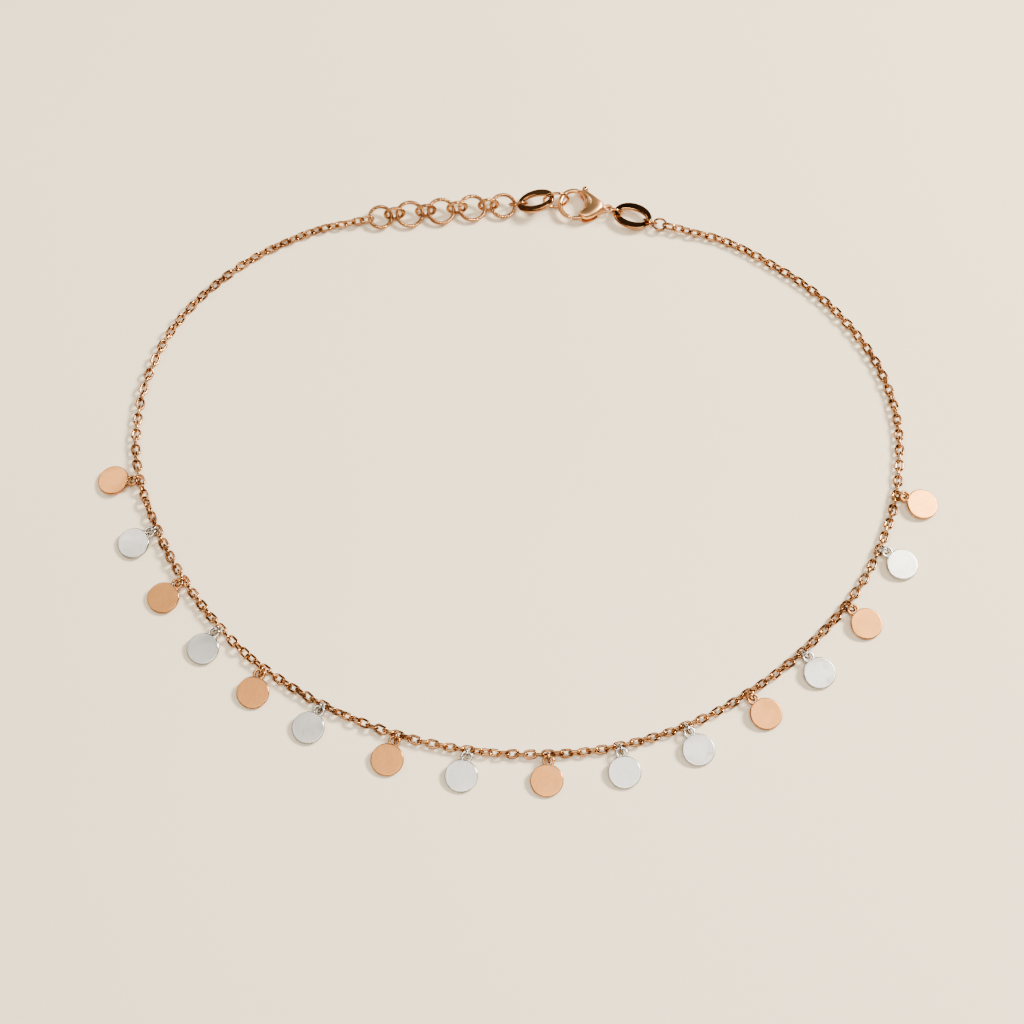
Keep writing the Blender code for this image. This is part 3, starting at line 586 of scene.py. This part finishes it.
def claw_surface():
    """The claw as one sweep from the hook's tip to the body's lower arm. Each section spans from the
    opening's edge to the outer edge, as a superellipse: width |cos a|^p and height |sin a|^p. The hook's
    sections are round and the body's are domed, with two bell-shaped grooves beside the opening."""
    hook_angles = np.radians(np.linspace(HOOK_TIP, HOOK_ROOT, HOOK_POINTS))
    share = (math.radians(HOOK_TIP) - hook_angles) / math.radians(HOOK_TIP - HOOK_ROOT)
    wires = np.interp(1 - share, (0, HOOK_WIDEST, 1), HOOK_WIRES)
    line = np.stack([HOOK_RADII[0] * np.cos(hook_angles), HOOK_RADII[1] * np.sin(hook_angles)], -1)
    normal = unit(line / np.array(HOOK_RADII) ** 2)
    hook_inner = line - normal * wires[:, None] / 2
    hook_outer = line + normal * wires[:, None] / 2

    outer = smooth_line(np.array(BODY_OUTER) * BODY_REACH, BODY_STEPS)[1:]
    travel = np.linspace(0, 1, len(outer))
    body_angles = np.radians(HOOK_ROOT + (BODY_LOW - HOOK_ROOT) * travel)
    inner = np.stack([OPENING_RADII[0] * np.cos(body_angles), OPENING_RADII[1] * np.sin(body_angles)], -1)
    inner = np.vstack([hook_inner, inner])
    outer = np.vstack([hook_outer, outer])

    count = len(hook_inner)
    rise = np.clip((np.arange(len(inner)) - count + RISE_LEAD) / RISE_SECTIONS, 0, 1)
    rise = rise * rise * (3 - 2 * rise)
    heights = np.concatenate([wires / 2, np.full(len(inner) - count, wires[-1] / 2)])
    heights = heights * (1 - rise) + BODY_HALF_HEIGHT * rise
    middle = (inner + outer) / 2
    half = (outer - inner) / 2

    a = np.arange(BODY_SIDES) * 2 * math.pi / BODY_SIDES
    power = (1 - BODY_SQUARENESS * rise)[:, None]
    wide = np.sign(np.cos(a)) * np.abs(np.cos(a))[None] ** power
    high = np.sign(np.sin(a)) * np.abs(np.sin(a))[None] ** power
    grooves = sum(np.exp(-(((wide + place) / GROOVE_WIDTH) ** 2)) for place in GROOVE_PLACES)
    high = high * (1 - GROOVE_DEPTH * rise[:, None] * grooves)
    flat = middle[:, None] + half[:, None] * wide[..., None]
    grid = np.concatenate([flat, (heights[:, None] * high)[..., None]], -1)
    caps = []
    for row, ahead in ((0, grid[0] - grid[1]), (-1, grid[-1] - grid[-2])):
        centre = grid[row].mean(0)
        step = unit(ahead.mean(0)) * np.linalg.norm(half[row]) * CAP_LENGTH
        angles = np.linspace(0, math.pi / 2, CAP_ROWS + 1)[1:, None, None]
        shrink = np.maximum(np.cos(angles), SMALLEST_SHARE)
        caps.append(centre + (grid[row] - centre) * shrink + step * np.sin(angles))
    return np.vstack([caps[0][::-1], grid, caps[1]])


def cut_slot(obj):
    """Cuts the lever's slot through the body and makes the result its mesh. The slot starts further left at
    the lower arm, where the gate comes out, than at the hook's root."""
    heights = (-SLOT_HALF_HEIGHT, SLOT_HALF_HEIGHT)
    corners = [(SLOT_STARTS[i], (-SLOT_REACH, SLOT_REACH)[i], z) for i in (0, 1) for z in heights]
    corners += [(SLOT_END, y, z) for y in (-SLOT_REACH, SLOT_REACH) for z in heights]
    corners = placed(np.array(corners), turns(*CLASP_TURNS), CLASP_ORIGIN)
    faces = ((0, 1, 3, 2), (4, 6, 7, 5), (0, 4, 5, 1), (2, 3, 7, 6), (0, 2, 6, 4), (1, 5, 7, 3))
    mesh = bpy.data.meshes.new("slot")
    mesh.from_pydata(corners, [], faces)
    block = bpy.data.objects.new("slot", mesh)
    bpy.context.scene.collection.objects.link(block)
    modifier = obj.modifiers.new("slot", "BOOLEAN")
    modifier.object = block
    modifier.solver = "EXACT"
    bpy.context.view_layer.update()
    shown = obj.evaluated_get(bpy.context.evaluated_depsgraph_get())
    result = bpy.data.meshes.new_from_object(shown)
    obj.modifiers.clear()
    obj.data = result
    obj.data.set_sharp_from_angle(angle=SLOT_SHARP)
    bpy.data.objects.remove(block)


def clasp(material):
    """The claw's body with its slot, then the knob, the pin and the tail eye."""
    turn = turns(*CLASP_TURNS)
    body = piece("clasp_claw", [(placed(claw_surface(), turn, CLASP_ORIGIN), False, True)], material,
                 ["clasp_body"])
    cut_slot(body)
    tip = np.radians(HOOK_TIP)
    knob = ball(HOOK_KNOB) + (HOOK_RADII[0] * math.cos(tip), HOOK_RADII[1] * math.sin(tip), 0)
    pin_line = np.array([(*PIVOT, z) for z in np.linspace(-1, 1, 5) * (BODY_HALF_HEIGHT - PIN_RADIUS)])
    pin = swept(*rounded_ends(pin_line, PIN_RADIUS, 3), (0, 1, 0), PIN_SIDES)
    eye = hoop(TAIL_EYE_RADIUS, TAIL_EYE_WIRE, TAIL_EYE_POINTS) + (*TAIL_EYE, 0)
    grids = [(placed(grid, turn, CLASP_ORIGIN), closed, True)
             for grid, closed in ((knob, False), (pin, False), (eye, True))]
    piece("clasp_eye_and_knob", grids, material)


def lever(material):
    """Hub, gate arm, thumb arm and nub of the lever. The thumb arm thins a little towards its end."""
    turn = turns(*CLASP_TURNS)
    pivot = np.array((*PIVOT, 0))
    grids = []
    arms = (
        (GATE_ARM, GATE_REACH, GATE_WIRE, GATE_END),
        (THUMB_ARM, THUMB_REACH, THUMB_WIRE, THUMB_END),
    )
    for arm, reach, wire, end in arms:
        line = smooth_line(np.column_stack([np.array(arm) * reach, np.zeros(len(arm))]), ARM_STEPS)
        radii = wire * np.linspace(ARM_ROOT, end, len(line))
        grids.append((swept(*rounded_ends(line, radii), (0, 0, 1), ARM_SIDES), False))
    nub = ball(NUB_RADIUS) + (*(np.array(THUMB_ARM[-1]) * THUMB_REACH), 0)
    outer = oval_line((HUB_RADIUS, HUB_RADIUS), HUB_POINTS)
    hole = widened(oval_line((PIN_RADIUS + PLAY, PIN_RADIUS + PLAY), HUB_POINTS))
    hub = rounded_plate(outer, hole, LEVER_THICKNESS, HUB_EDGE)
    grids += [(nub, False), (hub, True)]
    grids = [(placed(grid + pivot, turn, CLASP_ORIGIN), closed, True) for grid, closed in grids]
    piece("clasp_gate_and_thumb", grids, material, ["clasp_lever"], body="lever")


def node_group(name, inputs, outputs):
    """An empty shader group with named sockets, given as (name, socket type, value)."""
    group = bpy.data.node_groups.new(name, "ShaderNodeTree")
    for label, kind, value in inputs:
        socket = group.interface.new_socket(label, in_out="INPUT", socket_type=kind)
        if value is not None:
            socket.default_value = value
    for label, kind in outputs:
        group.interface.new_socket(label, in_out="OUTPUT", socket_type=kind)
    return group, group.nodes.new("NodeGroupInput"), group.nodes.new("NodeGroupOutput")


def noise(tree, vector, scale, detail=2.0):
    """A noise texture whose scale is a number or a socket."""
    node = tree.nodes.new("ShaderNodeTexNoise")
    node.inputs["Detail"].default_value = detail
    tree.links.new(vector, node.inputs["Vector"])
    if isinstance(scale, (int, float)):
        node.inputs["Scale"].default_value = scale
    else:
        tree.links.new(scale, node.inputs["Scale"])
    return node.outputs["Fac"]


def ramp(tree, value, low, high):
    """Maps a value from its low and high ends to 0 and 1, smoothly."""
    node = tree.nodes.new("ShaderNodeMapRange")
    node.interpolation_type = "SMOOTHSTEP"
    tree.links.new(value, node.inputs["Value"])
    node.inputs["From Min"].default_value = low
    node.inputs["From Max"].default_value = high
    return node.outputs["Result"]


def mixed(tree, share, first, second):
    """One colour passing into another."""
    node = tree.nodes.new("ShaderNodeMix")
    node.data_type = "RGBA"
    tree.links.new(share, node.inputs["Factor"])
    for socket, value in ((node.inputs["A"], first), (node.inputs["B"], second)):
        if isinstance(value, tuple):
            socket.default_value = value
        else:
            tree.links.new(value, socket)
    return node.outputs["Result"]


def grain_group():
    """Brushing: noise stretched along one direction, put out as a height and as a shade."""
    group, source, sink = node_group(
        "brushed grain",
        [("Place", "NodeSocketVector", None), ("Across", "NodeSocketFloat", 1.0),
         ("Speckle", "NodeSocketFloat", 1.0)],
        [("Height", "NodeSocketFloat"), ("Shade", "NodeSocketFloat")],
    )
    turn = group.nodes.new("ShaderNodeMapping")
    turn.inputs["Rotation"].default_value = (0, 0, GRAIN_TURN)
    turn.inputs["Scale"].default_value = (GRAIN_STRETCH, 1, 1)
    group.links.new(source.outputs["Place"], turn.inputs["Vector"])
    lines = noise(group, turn.outputs["Vector"], source.outputs["Across"], 3)
    specks = noise(group, source.outputs["Place"], source.outputs["Speckle"], 2)
    add = group.nodes.new("ShaderNodeMath")
    add.operation = "MULTIPLY_ADD"
    group.links.new(specks, add.inputs[0])
    add.inputs[1].default_value = SPECK_SHARE
    group.links.new(lines, add.inputs[2])
    group.links.new(add.outputs["Value"], sink.inputs["Height"])
    group.links.new(ramp(group, add.outputs["Value"], *GRAIN_EDGES), sink.inputs["Shade"])
    return group


def handling_group():
    """Handling: soft clouds of duller and deeper metal, put out as a colour and a mask."""
    group, source, sink = node_group(
        "handling",
        [("Place", "NodeSocketVector", None), ("Cloud", "NodeSocketFloat", 1.0),
         ("Bright", "NodeSocketColor", None), ("Deep", "NodeSocketColor", None)],
        [("Color", "NodeSocketColor"), ("Dull", "NodeSocketFloat")],
    )
    spots = noise(group, source.outputs["Place"], source.outputs["Cloud"], 4)
    clouds = ramp(group, spots, *CLOUD_EDGES)
    colour = mixed(group, clouds, source.outputs["Bright"], source.outputs["Deep"])
    group.links.new(colour, sink.inputs["Color"])
    group.links.new(clouds, sink.inputs["Dull"])
    return group


def metal(name, groups, bright, deep, roughness, grain=None):
    """Plated metal: handling clouds between two colours and two roughnesses, with brushing on satin."""
    material = bpy.data.materials.new(name)
    material.use_nodes = True
    tree = material.node_tree
    shader = tree.nodes["Principled BSDF"]
    shader.inputs["Metallic"].default_value = 1
    place = tree.nodes.new("ShaderNodeTexCoord").outputs["Object"]
    clouds = tree.nodes.new("ShaderNodeGroup")
    clouds.node_tree = groups["handling"]
    tree.links.new(place, clouds.inputs["Place"])
    clouds.inputs["Cloud"].default_value = CLOUD_SCALE
    clouds.inputs["Bright"].default_value = (*bright, 1)
    clouds.inputs["Deep"].default_value = (*deep, 1)
    colour, dull = clouds.outputs["Color"], clouds.outputs["Dull"]
    low, high = roughness
    if grain:
        marks = tree.nodes.new("ShaderNodeAttribute")
        marks.attribute_name = "face_place"
        lines = tree.nodes.new("ShaderNodeGroup")
        lines.node_tree = groups["grain"]
        tree.links.new(marks.outputs["Vector"], lines.inputs["Place"])
        lines.inputs["Across"].default_value = grain["across"]
        lines.inputs["Speckle"].default_value = grain["speckle"]
        bump = tree.nodes.new("ShaderNodeBump")
        bump.inputs["Strength"].default_value = grain["strength"]
        bump.inputs["Distance"].default_value = GRAIN_DEPTH
        tree.links.new(lines.outputs["Height"], bump.inputs["Height"])
        tree.links.new(bump.outputs["Normal"], shader.inputs["Normal"])
        colour = mixed(tree, lines.outputs["Shade"], colour, (*grain["light"], 1))
    tree.links.new(colour, shader.inputs["Base Color"])
    spread = tree.nodes.new("ShaderNodeMapRange")
    spread.inputs["To Min"].default_value = low
    spread.inputs["To Max"].default_value = high
    tree.links.new(dull, spread.inputs["Value"])
    tree.links.new(spread.outputs["Result"], shader.inputs["Roughness"])
    return material


def floor_material():
    """A plain pale surface with a very soft change of tone."""
    material = bpy.data.materials.new("pale surface")
    material.use_nodes = True
    tree = material.node_tree
    shader = tree.nodes["Principled BSDF"]
    place = tree.nodes.new("ShaderNodeTexCoord").outputs["Object"]
    tone = ramp(tree, noise(tree, place, FLOOR_CLOUDS), *FLOOR_EDGES)
    tree.links.new(mixed(tree, tone, *FLOOR_TONES), shader.inputs["Base Color"])
    shader.inputs["Roughness"].default_value = FLOOR_ROUGHNESS
    return material


def stage():
    """The floor as one wide square at z = 0."""
    mesh = bpy.data.meshes.new("surface")
    corners = [(x * FLOOR_REACH, y * FLOOR_REACH, 0) for x, y in ((-1, -1), (1, -1), (1, 1), (-1, 1))]
    mesh.from_pydata(corners, [], [(0, 1, 2, 3)])
    mesh.materials.append(floor_material())
    floor = bpy.data.objects.new("surface", mesh)
    bpy.context.scene.collection.objects.link(floor)


def aim(obj, target):
    """Turns an object so that its -Z looks at the target."""
    obj.rotation_euler = (Vector(target) - obj.location).to_track_quat("-Z", "Y").to_euler()


def room():
    """A warm room that is dim all round and darkest high up at the back, which flat polished faces
    mirror."""
    world = bpy.data.worlds.new("room")
    world.use_nodes = True
    tree = world.node_tree
    background = tree.nodes["Background"]
    background.inputs["Color"].default_value = ROOM_COLOUR
    dot = tree.nodes.new("ShaderNodeVectorMath")
    dot.operation = "DOT_PRODUCT"
    tree.links.new(tree.nodes.new("ShaderNodeTexCoord").outputs["Generated"], dot.inputs[0])
    dot.inputs[1].default_value = (0, math.cos(CAMERA_ELEVATION), math.sin(CAMERA_ELEVATION))
    dark = ramp(tree, dot.outputs["Value"], *ROOM_EDGES)
    level = tree.nodes.new("ShaderNodeMapRange")
    level.inputs["To Min"].default_value, level.inputs["To Max"].default_value = ROOM_LEVELS
    tree.links.new(dark, level.inputs["Value"])
    tree.links.new(level.outputs["Result"], background.inputs["Strength"])
    bpy.context.scene.world = world


def lights():
    """A wide soft light above the front, a smaller brighter one at the back right and a weak one at the
    back left."""
    for name, place, size, power, colour in (
        ("overhead box", (0.02, -0.20, 0.58), (0.46, 0.24), 3.9, (1.0, 0.97, 0.92)),
        ("key box", (0.48, 0.22, 0.44), (0.17, 0.17), 15.0, (1.0, 0.95, 0.87)),
        ("left box", (-0.26, 0.25, 0.47), (0.20, 0.16), 1.1, (1.0, 0.96, 0.90)),
    ):
        data = bpy.data.lights.new(name, "AREA")
        data.shape = "RECTANGLE"
        data.size, data.size_y = size
        data.energy = power
        data.color = colour
        light = bpy.data.objects.new(name, data)
        light.location = place
        bpy.context.scene.collection.objects.link(light)
        aim(light, (0, 0, 0))


def camera():
    """The photograph's view: from the front, 63 degrees above the surface."""
    data = bpy.data.cameras.new("camera")
    data.lens = CAMERA_LENS
    data.clip_start = 0.01
    view = bpy.data.objects.new("camera", data)
    back = np.array((0, -math.cos(CAMERA_ELEVATION), math.sin(CAMERA_ELEVATION)))
    view.location = SHIFT + CAMERA_DISTANCE * back
    bpy.context.scene.collection.objects.link(view)
    aim(view, SHIFT)
    bpy.context.scene.camera = view


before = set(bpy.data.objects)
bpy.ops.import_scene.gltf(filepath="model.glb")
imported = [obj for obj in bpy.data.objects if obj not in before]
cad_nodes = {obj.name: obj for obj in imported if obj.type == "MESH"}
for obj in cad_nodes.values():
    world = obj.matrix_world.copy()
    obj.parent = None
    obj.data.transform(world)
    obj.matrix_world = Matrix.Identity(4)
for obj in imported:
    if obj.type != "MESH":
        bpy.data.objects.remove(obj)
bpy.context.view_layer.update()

groups = {"grain": grain_group(), "handling": handling_group()}
bright = {
    "rose": metal("rose polish", groups, (0.52, 0.25, 0.095), (0.25, 0.10, 0.036), (0.10, 0.22)),
    "silver": metal("silver polish", groups, (0.56, 0.54, 0.51), (0.30, 0.29, 0.27), (0.10, 0.20)),
}
# Rim metals: the discs' edges are polished, and these are darker than the polished metal to paint shade
# onto the bevels and side walls
polished_rims_painted_shade = {
    "rose": metal("rose rim polish and painted shade", groups, (0.46, 0.21, 0.075), (0.26, 0.10, 0.035), (0.12, 0.20)),
    "silver": metal("silver rim polish and painted shade", groups, (0.46, 0.45, 0.43), (0.28, 0.27, 0.26), (0.12, 0.20)),
}
satin = {
    "rose": metal("rose satin", groups, (0.66, 0.27, 0.07), (0.58, 0.22, 0.052), (0.36, 0.44),
                  {"across": 26, "speckle": 34, "strength": 0.20, "light": (0.74, 0.33, 0.10)}),
    "silver": metal("silver satin", groups, (0.72, 0.68, 0.61), (0.64, 0.60, 0.54), (0.32, 0.40),
                    {"across": 22, "speckle": 30, "strength": 0.30, "light": (0.82, 0.79, 0.73)}),
}
soft_rose = metal("rose soft polish", groups, (0.76, 0.40, 0.17), (0.64, 0.31, 0.12), (0.30, 0.38))

route = chain(bright["rose"])
discs(route, satin, polished_rims_painted_shade)
plain_rings(bright)
extender_rings(bright["rose"])
ovals(bright["rose"])
clasp(soft_rose)
lever(bright["rose"])
stage()
room()
lights()
camera()
